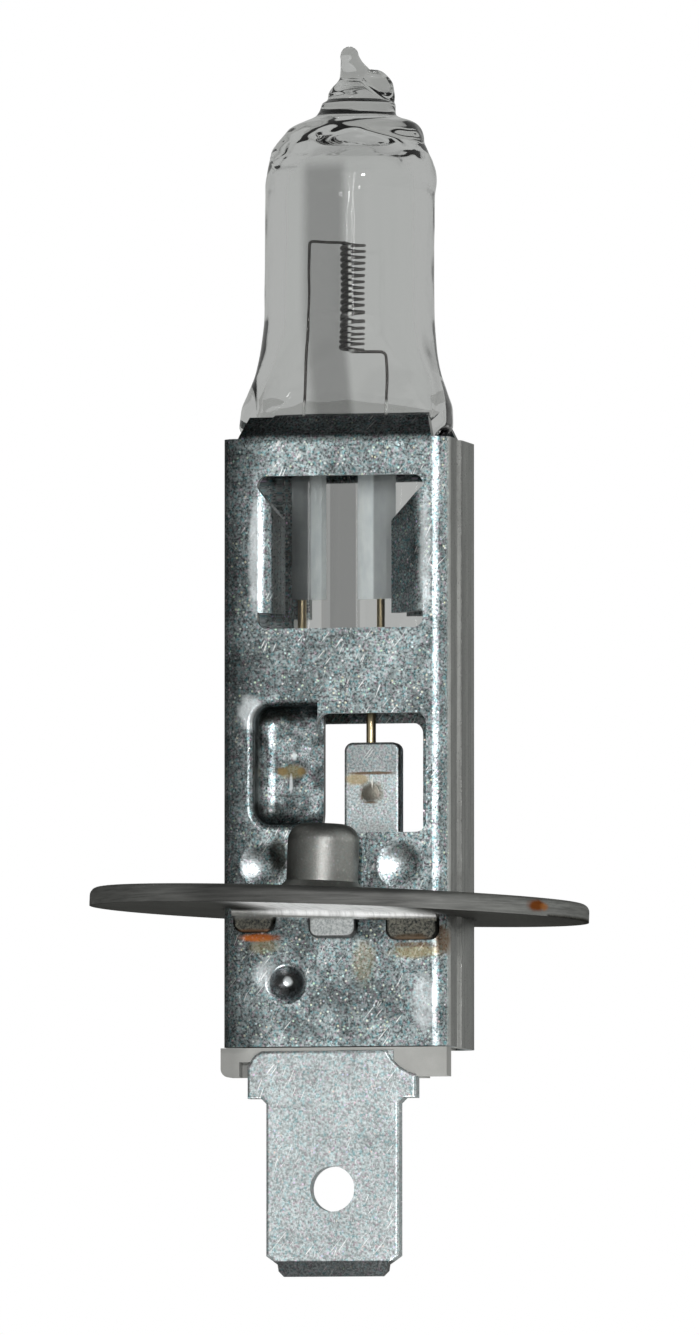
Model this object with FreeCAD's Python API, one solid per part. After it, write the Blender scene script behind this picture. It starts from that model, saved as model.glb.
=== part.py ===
import FreeCAD, Part
import math
import os

# Single-filament halogen headlight bulb with a round flange base.
# Millimetres. +Z runs along the lamp axis to the glass tip, Z = 0 is the top face of the flange,
# the side with the key boss faces -Y.
V = FreeCAD.Vector

# sleeve: two pressed half shells, one inside the other at the sides
SHEET = 0.4
SLEEVE_W = 10.75
SLEEVE_D = 6.5
SLEEVE_BOTTOM = -7.1
SLEEVE_TOP = 21.15
BEND_R = 0.75
LIP_RISE = 1.05
LIP_IN = 0.95
LIP_HALF_BASE = 4.6
LIP_HALF_TOP = 4.2
LIP_BEND_R = 0.8
FRONT_SIDE_END = -1.25
REAR_SIDE_END = -0.18
TONGUE_END = -2.55
FIT_GAP = 0.02

# clamp window over the glass pinch
CLAMP_X = (-3.66, 4.19)
CLAMP_Z = (12.3, 19.4)
CLAMP_CORNER_R = 0.45
CLAMP_TAB_TIP_X = (-2.62, 2.42)
CLAMP_TAB_TIP_Y = 1.95
CLAMP_TAB_Z = (13.05, 18.85, 17.35)
CLAMP_TAB_BEND_R = 0.7

# weld window lower down, with the pressed cup on its left
WELD_X = (-0.8, 4.34)
WELD_Z = (2.8, 8.34)
WELD_CORNER_R = 0.5
CUP_X = (-3.85, -0.8)
CUP_Z = (3.2, 8.7)
CUP_DEPTH = 1.35
CUP_CORNER_R = 0.8
CUP_FLOOR_R = 0.75
CUP_MOUTH_R = 0.3
REAR_WELD_X = (-2.25, 2.88)
REAR_WELD_Z = (2.6, 8.2)

# round dents pressed into the front shell: x, z, mouth radius, depth, rounding of the mouth
DENTS = ((-3.4, 1.3, 0.95, 0.2, 0.8), (3.1, 1.3, 0.95, 0.2, 0.8), (-2.28, -4.15, 0.85, 0.6, 0.2))

# flange
FLANGE_R = 11.62
FLANGE_T = 0.85
FLANGE_SHIFT_X = -0.46
FLANGE_TILT_DEG = 2.06
BOSS_R = 1.66
BOSS_H = 3.1
BOSS_CENTRE = (-0.08, -5.55)
SMALL_BOSS_R = 1.3
SMALL_BOSS_CENTRES = ((-3.2, 5.0), (3.2, 5.0))
# weld tabs bent down on the sleeve front: x from, x to, bottom z
WELD_TABS = ((-4.74, -2.79, -1.8), (-1.17, 1.12, -2.08), (2.5, 4.98, -2.2))
WELD_TAB_T = 0.45
# The tab's corner radius stays above twice its edge radius, so the two roundings meet cleanly.
WELD_TAB_CORNER_R = 0.46
WELD_TAB_EDGE_R = 0.21
# round bend from the underside of the flange down to the weld tabs
COLLAR_R = 0.34

# glass
# outside and inside profiles, (radius, z), then the pressed flats, (y, z)
FLARE_OUT = ((4.25, 20.7), (4.7, 21.3), (4.9, 22.1), (4.76, 22.9), (4.45, 23.8), (4.17, 24.8),
             (4.0, 26.2), (3.96, 27.5))
SHOULDER_OUT = ((3.96, 33.0), (3.88, 34.0), (3.55, 34.95), (2.85, 35.75), (2.05, 36.15), (1.75, 36.8))
FLAT_OUT = ((1.65, 20.6), (1.66, 21.3), (1.85, 22.2), (2.35, 23.4), (3.1, 25.0), (3.8, 26.4), (4.3, 27.5))
FLARE_IN = ((3.6, 21.75), (3.95, 22.1), (4.0, 22.6), (3.83, 23.6), (3.48, 24.8), (3.1, 26.2),
            (2.91, 27.5))
SHOULDER_IN = ((2.91, 32.6), (2.8, 33.4), (2.3, 34.2), (1.2, 34.7), (0.0, 34.85))
FLAT_IN = ((0.45, 21.7), (0.9, 22.4), (1.55, 23.7), (2.3, 25.2), (2.95, 26.6), (3.4, 27.6))
PINCH_X = -0.26
PINCH_HALF_W = 4.25
PINCH_HALF_T = 1.65
WEB_HALF_T = 1.05
WEB_HALF_W = 1.56
RIM_START = 2.45
PINCH_BOTTOM = 11.9
PINCH_TOP = 21.6

# filament
COIL_X = 0.14
COIL_R = 0.51
COIL_Z = (25.45, 30.45)
COIL_TURNS = 18
WIRE_R = 0.08
WIRE_Y = 0.115
LEG_X = (-2.19, 1.76)
LEG_FOOT_Z = 19.6

# foils and outer leads
FOIL_X = (-1.94, 1.43)
FOIL_W = 1.75
FOIL_T = 0.05
FOIL_Z = (13.8, 21.0)
LEAD_R = 0.225
LEAD_Y = 0.255

# contact blade
BLADE_T = 0.8
BLADE_FRONT = -3.35
BLADE_X = (-3.23, 3.07)
BLADE_TIP = -17.75
SHOULDER_X = (-4.12, 3.88)
SHOULDER_Z = (-9.5, -7.3)
HOLE_Z = -13.7
HOLE_R = 1.05
EDGE_R = 0.15
STRIP_X = (0.16, 2.8)
STRIP_FRONT = -1.9
STRIP_TOP = 7.05
NUGGET = (1.42, 4.7, 0.42, 0.05)

# insulator
FOOT_X = (-5.4, 5.32)
FOOT_Z = (-8.5, -7.15)
FOOT_BACK = -2.25
BLOCK_HALF_W = 4.9
BLOCK_HALF_D = 2.8
BLOCK_TOP = -3.4
# notch that the lowest dent of the sleeve crimps into: x, x, y, y, z, z
CRIMP_NOTCH = (-3.7, -0.9, -3.0, -2.3, -5.6, -3.0)


def box(x0, x1, y0, y1, z0, z1):
    return Part.makeBox(x1 - x0, y1 - y0, z1 - z0, V(x0, y0, z0))


def prism(points, direction):
    """Solid swept along direction from a closed flat outline."""
    outline = Part.makePolygon(points + [points[0]])
    return Part.Face(outline).extrude(direction)


def round_edges(solid, radius, chosen):
    edges = [e for e in solid.Edges if chosen(e)]
    return solid.makeFillet(radius, edges)


def along(edge, axis):
    """True when a straight edge runs along the x, y or z axis (0, 1 or 2)."""
    if len(edge.Vertexes) != 2:
        return False
    a, b = (v.Point for v in edge.Vertexes)
    step = b - a
    return abs(abs(step[axis]) - step.Length) < 1e-6


def rounded_cutter(x0, x1, y0, y1, z0, z1, radius):
    """Block with its four long edges along Y rounded."""
    return round_edges(box(x0, x1, y0, y1, z0, z1), radius, lambda e: along(e, 1))


def half_shell(sign, side_end):
    """Front (sign -1) or rear (sign +1) U-shaped sheet, its sides reaching to y = side_end."""
    back = sign * SLEEVE_D / 2
    y0, y1 = sorted((back, side_end))
    half = SLEEVE_W / 2
    outer = box(-half, half, y0, y1, SLEEVE_BOTTOM, SLEEVE_TOP)
    inner_back = back - sign * SHEET
    i0, i1 = sorted((inner_back, side_end + (-sign) * 1.0))
    inner = box(-half + SHEET, half - SHEET, i0, i1, SLEEVE_BOTTOM - 1, SLEEVE_TOP + 1)

    def corner(edge, y):
        return along(edge, 2) and abs(edge.CenterOfMass.y - y) < 1e-6

    outer = round_edges(outer, BEND_R, lambda e: corner(e, back))
    inner = round_edges(inner, BEND_R - SHEET, lambda e: corner(e, inner_back))
    return outer.cut(inner)


def bent_sheet(at, bend_r, turn, run):
    """Section of a sheet that turns by an angle in a round bend and then runs on straight.

    at(radius, angle, further) gives the point at that angle of a bend with that radius, or
    further along the straight run that follows it.
    """
    def skin(radius):
        return at(radius, 0), at(radius, turn / 2), at(radius, turn), at(radius, turn, run)

    outer = skin(bend_r)
    inner = skin(bend_r - SHEET)
    edges = [
        Part.Arc(outer[0], outer[1], outer[2]).toShape(),
        Part.makeLine(outer[2], outer[3]),
        Part.makeLine(outer[3], inner[3]),
        Part.makeLine(inner[3], inner[2]),
        Part.Arc(inner[2], inner[1], inner[0]).toShape(),
        Part.makeLine(inner[0], outer[0]),
    ]
    return Part.Face(Part.Wire(edges))


def with_lip(shell, sign):
    """Flap along the top edge, bent over in a round bend and leaning in over the glass."""
    back = sign * SLEEVE_D / 2
    lean = math.atan2(LIP_IN, LIP_RISE)
    run = (LIP_IN - LIP_BEND_R * (1 - math.cos(lean))) / math.sin(lean)
    tip_z = SLEEVE_TOP + LIP_RISE
    start_z = tip_z - LIP_BEND_R * math.sin(lean) - run * math.cos(lean)

    def at(radius, angle, further=0.0):
        inward = LIP_BEND_R - radius * math.cos(angle) + further * math.sin(angle)
        up = radius * math.sin(angle) + further * math.cos(angle)
        return V(-LIP_HALF_BASE, back - sign * inward, start_z + up)

    flap = bent_sheet(at, LIP_BEND_R, lean, run).extrude(V(2 * LIP_HALF_BASE, 0, 0))
    for side in (-1, 1):
        corner = [
            V(side * LIP_HALF_BASE, -5, SLEEVE_TOP), V(side * LIP_HALF_TOP, -5, tip_z + 0.1),
            V(side * (LIP_HALF_BASE + 1), -5, tip_z + 0.1), V(side * (LIP_HALF_BASE + 1), -5, SLEEVE_TOP),
        ]
        flap = flap.cut(prism(corner, V(0, 10, 0)))
    y0, y1 = sorted((back - sign * (SHEET + 0.1), back + sign * 0.1))
    room = box(-LIP_HALF_BASE, LIP_HALF_BASE, y0, y1, start_z, SLEEVE_TOP + 1)
    return shell.cut(room).fuse(flap)


def clamp_tab(sign, x_hinge, x_tip):
    """Tab turned in from the window edge to the glass pinch, its top corner cut off."""
    bottom, top_hinge, top_tip = CLAMP_TAB_Z
    way = math.copysign(1, x_tip - x_hinge)
    reach = abs(x_tip - x_hinge)
    depth = SLEEVE_D / 2 - CLAMP_TAB_TIP_Y
    run = math.sqrt(reach ** 2 + depth ** 2 - 2 * depth * CLAMP_TAB_BEND_R)
    turn = math.atan2(reach, CLAMP_TAB_BEND_R - depth) - math.atan2(run, CLAMP_TAB_BEND_R)

    def at(radius, angle, further=0.0):
        inward = CLAMP_TAB_BEND_R - radius * math.cos(angle) + further * math.sin(angle)
        across = radius * math.sin(angle) + further * math.cos(angle)
        return V(x_hinge + way * across, sign * (SLEEVE_D / 2 - inward), bottom)

    tab = bent_sheet(at, CLAMP_TAB_BEND_R, turn, run).extrude(V(0, 0, top_hinge - bottom))
    corner = [
        V(x_hinge, -5, top_hinge), V(x_tip, -5, top_tip), V(x_tip + way, -5, top_tip),
        V(x_tip + way, -5, top_hinge + 1), V(x_hinge, -5, top_hinge + 1),
    ]
    return tab.cut(prism(corner, V(0, 10, 0)))


def with_clamp_window(shell, sign):
    back = sign * SLEEVE_D / 2
    y0, y1 = sorted((back - sign * 1.0, back + sign * 1.0))
    opening = rounded_cutter(CLAMP_X[0], CLAMP_X[1], y0, y1, CLAMP_Z[0], CLAMP_Z[1], CLAMP_CORNER_R)
    shell = shell.cut(opening)
    for x_hinge, x_tip in zip(CLAMP_X, CLAMP_TAB_TIP_X):
        shell = shell.fuse(clamp_tab(sign, x_hinge, x_tip))
    return shell


def with_dent(shell, x, z, mouth, depth, edge_r):
    """Round dent: a spherical dish pushed into the front sheet."""
    front = -SLEEVE_D / 2
    sphere_r = (mouth ** 2 + depth ** 2) / (2 * depth)
    centre = V(x, front + depth - sphere_r, z)
    behind = box(x - 3, x + 3, front + SHEET / 2, front + 3, z - 3, z + 3)
    dish = Part.makeSphere(sphere_r + SHEET, centre).common(behind)
    shell = shell.fuse(dish).cut(Part.makeSphere(sphere_r, centre))

    def mouth_edge(edge):
        middle = edge.CenterOfMass
        return abs(middle.y - front) < 1e-6 and math.hypot(middle.x - x, middle.z - z) < 0.05

    return round_edges(shell, edge_r, mouth_edge)


def cup_block(grow, front):
    """Block with the cup's round corners and floor, grown by grow on its closed sides."""
    back = -SLEEVE_D / 2 + CUP_DEPTH + grow
    block = box(CUP_X[0] - grow, CUP_X[1] + 3, front, back, CUP_Z[0] - grow, CUP_Z[1] + grow)
    block = round_edges(block, CUP_CORNER_R + grow,
                        lambda e: along(e, 1) and e.CenterOfMass.x < CUP_X[1])
    block = round_edges(block, CUP_FLOOR_R + grow,
                        lambda e: abs(e.CenterOfMass.y - back) < 1e-6 and e.CenterOfMass.x < CUP_X[1] + 2)
    keep = box(CUP_X[0] - 2, CUP_X[1], front - 1, 0, CUP_Z[0] - 2, CUP_Z[1] + 2)
    return block.common(keep)


def with_cup(shell):
    """Pressed cup at the left of the weld window, open at its right edge."""
    front = -SLEEVE_D / 2
    shell = shell.fuse(cup_block(SHEET, front + 0.05)).cut(cup_block(0.0, front - 1))

    def mouth_edge(edge):
        middle = edge.CenterOfMass
        inside = CUP_X[0] - 0.1 < middle.x < CUP_X[1] - 0.1 and CUP_Z[0] - 0.1 < middle.z < CUP_Z[1] + 0.1
        return inside and abs(middle.y - front) < 1e-6

    return round_edges(shell, CUP_MOUTH_R, mouth_edge)


def sleeve_front():
    shell = half_shell(-1, FRONT_SIDE_END)
    shell = with_lip(shell, -1)
    shell = with_clamp_window(shell, -1)
    shell = with_cup(shell)
    opening = rounded_cutter(WELD_X[0], WELD_X[1], -4, -2.4, WELD_Z[0], WELD_Z[1], WELD_CORNER_R)
    shell = shell.cut(opening)
    for dent in DENTS:
        shell = with_dent(shell, *dent)
    return shell.removeSplitter()


def sleeve_rear():
    shell = half_shell(1, REAR_SIDE_END)
    half = SLEEVE_W / 2
    for side in (-1, 1):
        outer_x = side * (half - SHEET - FIT_GAP)
        inner_x = outer_x - side * SHEET
        step = [
            V(side * half, REAR_SIDE_END + 0.01, SLEEVE_BOTTOM),
            V(outer_x, REAR_SIDE_END - 0.25, SLEEVE_BOTTOM),
            V(outer_x, TONGUE_END, SLEEVE_BOTTOM),
            V(inner_x, TONGUE_END, SLEEVE_BOTTOM),
            V(inner_x, REAR_SIDE_END - 0.05, SLEEVE_BOTTOM),
            V(side * (half - SHEET), REAR_SIDE_END + 0.3, SLEEVE_BOTTOM),
            V(side * half, REAR_SIDE_END + 0.3, SLEEVE_BOTTOM),
        ]
        shell = shell.fuse(prism(step, V(0, 0, SLEEVE_TOP - SLEEVE_BOTTOM)))
    shell = with_lip(shell, 1)
    shell = with_clamp_window(shell, 1)
    opening = rounded_cutter(REAR_WELD_X[0], REAR_WELD_X[1], 2.4, 4, REAR_WELD_Z[0], REAR_WELD_Z[1],
                             WELD_CORNER_R)
    return shell.cut(opening).removeSplitter()


def boss(x, y, radius, height):
    """Round boss on the flange: a domed post with a sloping foot."""
    post = Part.makeCylinder(radius, height + FLANGE_T / 2, V(x, y, -FLANGE_T / 2))
    post = round_edges(post, radius * 0.5, lambda e: abs(e.CenterOfMass.z - height) < 1e-6)
    skirt = Part.makeCone(radius + 0.45, radius - 0.02, 0.45, V(x, y, 0))
    return post.fuse(skirt)


def collar():
    """Sheet turned down along the front edge of the flange's opening, above the weld tabs."""
    front = -SLEEVE_D / 2
    outer_y = front - WELD_TAB_T
    x0 = WELD_TABS[0][0]
    under = -FLANGE_T
    foot = under - COLLAR_R
    slant = COLLAR_R * (1 - math.sqrt(0.5))
    arc = Part.Arc(V(x0, outer_y - COLLAR_R, under), V(x0, outer_y - slant, under - slant),
                   V(x0, outer_y, foot))
    corners = [V(x0, outer_y, foot), V(x0, front, foot), V(x0, front, under / 2),
               V(x0, outer_y - COLLAR_R, under / 2), V(x0, outer_y - COLLAR_R, under)]
    edges = [arc.toShape()] + [Part.makeLine(a, b) for a, b in zip(corners, corners[1:])]
    return Part.Face(Part.Wire(edges)).extrude(V(WELD_TABS[-1][1] - x0, 0, 0))


def flange():
    disc = Part.makeCylinder(FLANGE_R, FLANGE_T, V(FLANGE_SHIFT_X, 0, -FLANGE_T))
    disc = round_edges(disc, 0.38, lambda e: abs(e.CenterOfMass.z) < 1e-6 and not along(e, 2))
    disc = disc.fuse(boss(BOSS_CENTRE[0], BOSS_CENTRE[1], BOSS_R, BOSS_H))
    for x, y in SMALL_BOSS_CENTRES:
        disc = disc.fuse(boss(x, y, SMALL_BOSS_R, BOSS_H))
    disc.rotate(V(0, 0, 0), V(0, 1, 0), FLANGE_TILT_DEG)
    turned_down = collar()
    turned_down.rotate(V(0, 0, 0), V(0, 1, 0), FLANGE_TILT_DEG)
    half_w = SLEEVE_W / 2 + 0.12
    half_d = SLEEVE_D / 2 + 0.12
    hole = box(-half_w, half_w, -half_d, half_d, -3, 3)
    hole = round_edges(hole, BEND_R, lambda e: along(e, 2))
    disc = disc.cut(hole).fuse(turned_down)
    front = -SLEEVE_D / 2
    for x0, x1, bottom in WELD_TABS:
        root = -0.3 - math.tan(math.radians(FLANGE_TILT_DEG)) * (x0 + x1) / 2
        tab = box(x0, x1, front - WELD_TAB_T, front, bottom, root)
        tab = round_edges(tab, WELD_TAB_CORNER_R,
                          lambda e: along(e, 1) and abs(e.CenterOfMass.z - bottom) < 1e-6)
        tab = round_edges(tab, WELD_TAB_EDGE_R,
                          lambda e: abs(e.CenterOfMass.y - front + WELD_TAB_T) < 1e-6
                          and e.CenterOfMass.z < root - 1e-6)
        disc = disc.fuse(tab)
    return disc.removeSplitter()


def smooth(points):
    curve = Part.BSplineCurve()
    curve.interpolate([V(*p) for p in points])
    return curve.toShape()


def turned(low, high, base_z, top_r):
    """Solid turned about the lamp axis: curve, straight wall, curve, each given as (r, z)."""
    low_curve = smooth([(r, 0, z) for r, z in low])
    high_curve = smooth([(r, 0, z) for r, z in high])
    wall = Part.makeLine(V(low[-1][0], 0, low[-1][1]), V(high[0][0], 0, high[0][1]))
    top_z = high[-1][1]
    edges = [low_curve, wall, high_curve]
    if top_r > 0:
        edges.append(Part.makeLine(V(top_r, 0, top_z), V(0, 0, top_z)))
    edges.append(Part.makeLine(V(0, 0, top_z), V(0, 0, base_z)))
    edges.append(Part.makeLine(V(0, 0, base_z), V(low[0][0], 0, base_z)))
    return Part.Face(Part.Wire(edges)).revolve(V(0, 0, 0), V(0, 0, 1), 360)


def flattener(side, top_z):
    """Long prism along X whose front and back faces follow the pressed flats, given as (y, z)."""
    front = smooth([(-8, -y, z) for y, z in side])
    back = smooth([(-8, y, z) for y, z in side])
    y0, z0 = side[0]
    y1, z1 = side[-1]
    edges = [
        front,
        Part.makeLine(V(-8, -y1, z1), V(-8, -y1, top_z)),
        Part.makeLine(V(-8, -y1, top_z), V(-8, y1, top_z)),
        Part.makeLine(V(-8, y1, top_z), V(-8, y1, z1)),
        back,
        Part.makeLine(V(-8, y0, z0), V(-8, -y0, z0)),
    ]
    return Part.Face(Part.Wire(Part.__sortEdges__(edges))).extrude(V(16, 0, 0))


def glass_body():
    """Outside of the tube: flare above the pinch, straight wall, shoulder, tip neck."""
    body = turned(FLARE_OUT, SHOULDER_OUT, FLARE_OUT[0][1], SHOULDER_OUT[-1][0])
    return body.common(flattener(FLAT_OUT, 37.5))


def glass_cavity():
    hollow = turned(FLARE_IN, SHOULDER_IN, FLARE_IN[0][1], 0)
    return hollow.common(flattener(FLAT_IN, 35.5))


def exhaust_tip():
    """Melted-off stub of the exhaust tube: a neck, a nipple and a lower lump."""
    neck = Part.makeCone(1.7, 1.15, 1.3, V(0.2, 0, 36.5))
    nipple = Part.makeCone(0.95, 0.36, 2.1, V(0.1, 0, 37.2))
    bead = Part.makeSphere(0.37, V(0.08, 0, 39.28))
    lump = Part.makeSphere(0.88, V(1.2, 0, 37.65))
    return neck.fuse(nipple).fuse(bead).fuse(lump)


def pinch_press():
    """Flattened lower end with thick rims and a thin middle web."""
    outline = [
        (-PINCH_HALF_W, -PINCH_HALF_T), (-RIM_START, -PINCH_HALF_T),
        (-WEB_HALF_W, -WEB_HALF_T), (WEB_HALF_W, -WEB_HALF_T),
        (RIM_START, -PINCH_HALF_T), (PINCH_HALF_W, -PINCH_HALF_T),
        (PINCH_HALF_W, PINCH_HALF_T), (RIM_START, PINCH_HALF_T),
        (WEB_HALF_W, WEB_HALF_T), (-WEB_HALF_W, WEB_HALF_T),
        (-RIM_START, PINCH_HALF_T), (-PINCH_HALF_W, PINCH_HALF_T),
    ]
    points = [V(PINCH_X + x, y, PINCH_BOTTOM) for x, y in outline]
    return prism(points, V(0, 0, PINCH_TOP - PINCH_BOTTOM))


def foil(x, gap=0.0):
    return box(x - FOIL_W / 2 - gap, x + FOIL_W / 2 + gap, -FOIL_T / 2 - gap, FOIL_T / 2 + gap,
               FOIL_Z[0] - gap, FOIL_Z[1] + gap)


def wire(points, radius):
    """Round wire through the points: straight rods with balls at the bends."""
    solid = None
    for a, b in zip(points, points[1:]):
        rod = Part.makeCylinder(radius, (b - a).Length, a, b - a)
        solid = rod if solid is None else solid.fuse(rod)
    for p in points[1:]:
        solid = solid.fuse(Part.makeSphere(radius, p))
    return solid


def leg_paths():
    top = COIL_Z[1]
    low = COIL_Z[0]
    left = [
        V(LEG_X[0], WIRE_Y, LEG_FOOT_Z),
        V(LEG_X[0] + 0.2, WIRE_Y, top - 0.05),
        V(LEG_X[0] + 0.45, WIRE_Y, top + 0.1),
        V(COIL_X - 0.1, WIRE_Y, top + 0.1),
        V(COIL_X + COIL_R, WIRE_Y - 0.04, top),
    ]
    right = [
        V(LEG_X[1], WIRE_Y, LEG_FOOT_Z),
        V(LEG_X[1] - 0.05, WIRE_Y, low - 0.25),
        V(LEG_X[1] - 0.35, WIRE_Y, low - 0.05),
        V(COIL_X + COIL_R, WIRE_Y, low),
    ]
    return left, right


def filament():
    pitch = (COIL_Z[1] - COIL_Z[0]) / COIL_TURNS
    spine = Part.makeHelix(pitch, COIL_Z[1] - COIL_Z[0], COIL_R)
    profile = Part.Wire(Part.makeCircle(WIRE_R, V(COIL_R, 0, 0), V(0, 1, pitch / (2 * math.pi * COIL_R))))
    coil = Part.Wire(spine.Edges).makePipeShell([profile], True, True)
    coil.translate(V(COIL_X, WIRE_Y, COIL_Z[0]))
    for path in leg_paths():
        coil = coil.fuse(wire(path, WIRE_R))
    return coil


def shell_lead_path():
    return [V(-2.37, LEAD_Y, 15.4), V(-2.37, LEAD_Y, 11.2), V(-2.2, -1.2, 9.4), V(-2.2, -1.2, 4.4)]


def contact_lead_path():
    return [V(1.77, LEAD_Y, 15.4), V(1.77, LEAD_Y, 11.2), V(1.22, -0.86, 8.9), V(1.22, -0.86, 4.2)]


def glass_envelope():
    glass = glass_body().fuse(exhaust_tip()).fuse(pinch_press()).cut(glass_cavity())
    for x in FOIL_X:
        glass = glass.cut(foil(x, 0.01))
    for path in leg_paths():
        straight = [path[0] - V(0, 0, 0.02), path[1]]
        glass = glass.cut(wire(straight, WIRE_R + 0.02))
    for path in (shell_lead_path(), contact_lead_path()):
        straight = [path[0] + V(0, 0, 0.02), path[1]]
        glass = glass.cut(wire(straight, LEAD_R + 0.02))
    return glass


def blade_outline():
    """Front view of the blade: flared shoulders, narrower tab, tip with clipped corners."""
    x0, x1 = BLADE_X
    s0, s1 = SHOULDER_X
    low, high = SHOULDER_Z
    tip = [(0.0, 0.95), (0.55, 0.55), (0.57, 0.25), (0.8, 0.0)]
    flare = [(0.0, 1.12), (0.38, 1.0), (0.78, 0.75), (1.13, 0.4), (1.38, 0.0)]
    points = [(x0 + x, BLADE_TIP + z) for x, z in tip]
    points += [(x1 - x, BLADE_TIP + z) for x, z in reversed(tip)]
    points += [(x1, low - 0.25), (x1 + 0.25, low), (s1, low)]
    points += [(s1 - x, high - z) for x, z in flare]
    points += [(s0 + 0.67, high), (s0 + 0.32, high - 0.2), (s0, high - 0.7)]
    points += [(s0, low), (x0 - 0.25, low), (x0, low - 0.25)]
    return [V(x, 0, z) for x, z in points]


def contact_blade():
    """Blade, shelf and weld strip bent from one sheet."""
    points = [p + V(0, BLADE_FRONT, 0) for p in blade_outline()]
    blade = prism(points, V(0, BLADE_T, 0))
    blade = round_edges(blade, EDGE_R, lambda e: abs(e.CenterOfMass.y - BLADE_FRONT) < 1e-6
                        and e.CenterOfMass.z > BLADE_TIP + 0.6)
    bevel_depth = 0.3
    for face, inward in ((BLADE_FRONT, 1), (BLADE_FRONT + BLADE_T, -1)):
        wedge = [
            V(-5, face, BLADE_TIP + 0.75), V(-5, face - inward * 0.1, BLADE_TIP - 0.1),
            V(-5, face + inward * bevel_depth, BLADE_TIP - 0.1),
        ]
        blade = blade.cut(prism(wedge, V(10, 0, 0)))
    hole = Part.makeCylinder(HOLE_R, 4, V((BLADE_X[0] + BLADE_X[1]) / 2, BLADE_FRONT - 1, HOLE_Z),
                             V(0, 1, 0))
    blade = blade.cut(hole)
    strip_back = STRIP_FRONT + BLADE_T
    shelf_top = SHOULDER_Z[1]
    shelf = box(STRIP_X[0], STRIP_X[1], BLADE_FRONT + 0.1, strip_back, shelf_top - BLADE_T, shelf_top)
    strip = box(STRIP_X[0], STRIP_X[1], STRIP_FRONT, strip_back, shelf_top - BLADE_T, STRIP_TOP)
    strip = round_edges(strip, 0.4,
                        lambda e: along(e, 1) and abs(e.CenterOfMass.z - STRIP_TOP) < 1e-6)
    strip = round_edges(strip, EDGE_R, lambda e: along(e, 2) and e.CenterOfMass.x > STRIP_X[1] - 0.01
                        and e.CenterOfMass.y < STRIP_FRONT + 0.01)
    x, z, radius, height = NUGGET
    sphere_r = (radius ** 2 + height ** 2) / (2 * height)
    nugget = Part.makeSphere(sphere_r, V(x, STRIP_FRONT - height + sphere_r, z))
    nugget = nugget.common(box(x - 1, x + 1, STRIP_FRONT - 1, STRIP_FRONT + 0.2, z - 1, z + 1))
    return blade.fuse(shelf).fuse(strip).fuse(nugget).removeSplitter()


def insulator():
    """Ceramic block in the sleeve's lower end, with a foot that carries the blade."""
    block = box(-BLOCK_HALF_W + 0.45, BLOCK_HALF_W - 0.45, -BLOCK_HALF_D, BLOCK_HALF_D - 0.02,
                SLEEVE_BOTTOM, BLOCK_TOP)
    foot = box(FOOT_X[0], FOOT_X[1], -SLEEVE_D / 2, FOOT_BACK, FOOT_Z[0], FOOT_Z[1])
    foot = round_edges(foot, 0.4, lambda e: along(e, 1) and e.CenterOfMass.x < 0
                       and abs(e.CenterOfMass.z - FOOT_Z[0]) < 1e-6)
    neck = box(-1.0, 3.9, -2.8, -0.3, FOOT_Z[0], SLEEVE_BOTTOM + 0.5)
    web = box(-4.4, 4.4, -2.8, FOOT_BACK, FOOT_Z[0] + 0.4, SLEEVE_BOTTOM + 0.5)
    body = block.fuse(foot).fuse(neck).fuse(web)
    body = body.cut(box(*CRIMP_NOTCH))
    gap = 0.02
    seat = [p + V(0, BLADE_FRONT - 1, 0) for p in blade_outline()]
    body = body.cut(prism(seat, V(0, 1 + BLADE_T + gap, 0)))
    side = box(SHOULDER_X[0] - 0.4, SHOULDER_X[0] + 0.5, -4, BLADE_FRONT + BLADE_T + gap,
               FOOT_Z[0] - 1, SHOULDER_Z[1] - 0.5)
    body = body.cut(side)
    strip_back = STRIP_FRONT + BLADE_T
    slot = box(STRIP_X[0] - gap, STRIP_X[1] + gap, STRIP_FRONT - gap, strip_back + gap, -9, BLOCK_TOP + 1)
    shelf = box(STRIP_X[0] - gap, STRIP_X[1] + gap, BLADE_FRONT, strip_back + gap,
                SHOULDER_Z[1] - BLADE_T - gap, SHOULDER_Z[1] + gap)
    body = body.cut(slot.common(box(-9, 9, -9, 9, SHOULDER_Z[1] - BLADE_T - gap, 9)))
    return body.cut(shelf).removeSplitter()


def main():
    os.makedirs("parts", exist_ok=True)
    parts = {
        "glass_envelope": glass_envelope(),
        "filament": filament(),
        "foil_left": foil(FOIL_X[0]),
        "foil_right": foil(FOIL_X[1]),
        "lead_shell": wire(shell_lead_path(), LEAD_R),
        "lead_contact": wire(contact_lead_path(), LEAD_R),
        "sleeve_front": sleeve_front(),
        "sleeve_rear": sleeve_rear(),
        "flange": flange(),
        "insulator": insulator(),
        "contact_blade": contact_blade(),
    }
    for node, shape in parts.items():
        size = shape.BoundBox
        print(node, len(shape.Solids), shape.isValid(), round(shape.Volume, 2),
              [round(v, 2) for v in (size.XMin, size.XMax, size.YMin, size.YMax, size.ZMin, size.ZMax)])
        shape.exportStep("parts/" + node + ".step")


main()
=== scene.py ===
import math

import bmesh
import bpy
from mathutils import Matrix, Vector, noise


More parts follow.
